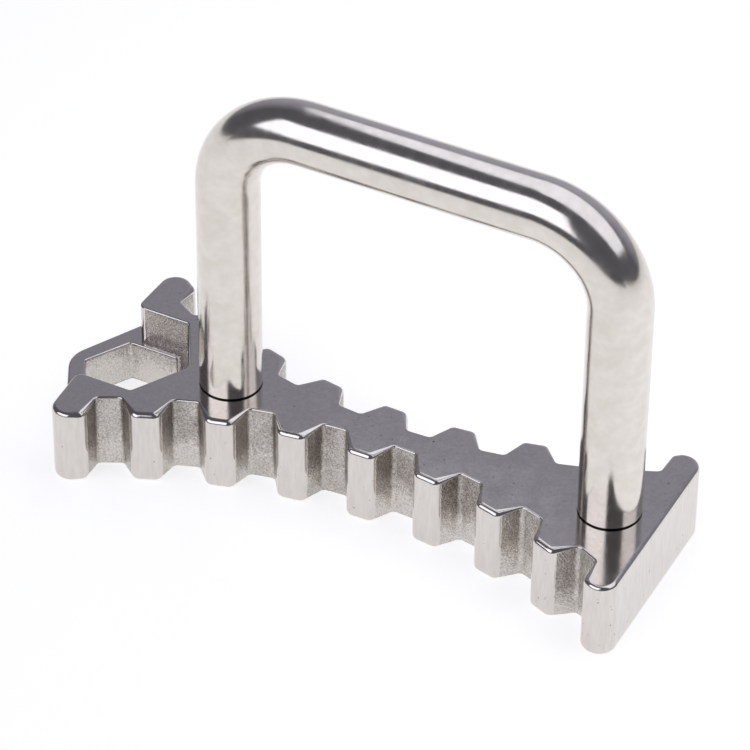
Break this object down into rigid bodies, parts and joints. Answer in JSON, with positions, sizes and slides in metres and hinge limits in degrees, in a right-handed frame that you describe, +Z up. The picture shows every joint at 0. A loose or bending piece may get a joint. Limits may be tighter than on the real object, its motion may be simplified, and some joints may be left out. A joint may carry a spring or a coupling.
{
  "type": "camshaft sprocket locking tool",
  "caption": "Rigid steel hand tool: an hourglass block with a concave row of teeth on each long side, a stepped hexagon at one end and a round-bar bail handle.",
  "frame": {"origin": "on the flat base face, at the middle of the block's waist, where the centre planes of both rows of teeth cross", "axes": "+X along the block, from the hexagon end to the plain end; +Y across the block; +Z up, from the base face to the handle"},
  "size_m": [0.0823, 0.0314, 0.0569],
  "materials": {
    "polished_cast_steel": "cast stainless steel, polished on the top face, tooth tips and end faces, and left with its fine sand-like skin in the grooves and hexagons",
    "polished_bar_steel": "drawn stainless bar, mirror polished, with faint lengthwise marks",
    "screw_steel": "plain stainless fastener"
  },
  "bodies": {
    "root": {"toothed_block": "polished_cast_steel", "bail_handle": "polished_bar_steel", "left_handle_screw": "screw_steel", "right_handle_screw": "screw_steel"}
  },
  "joints": []
}
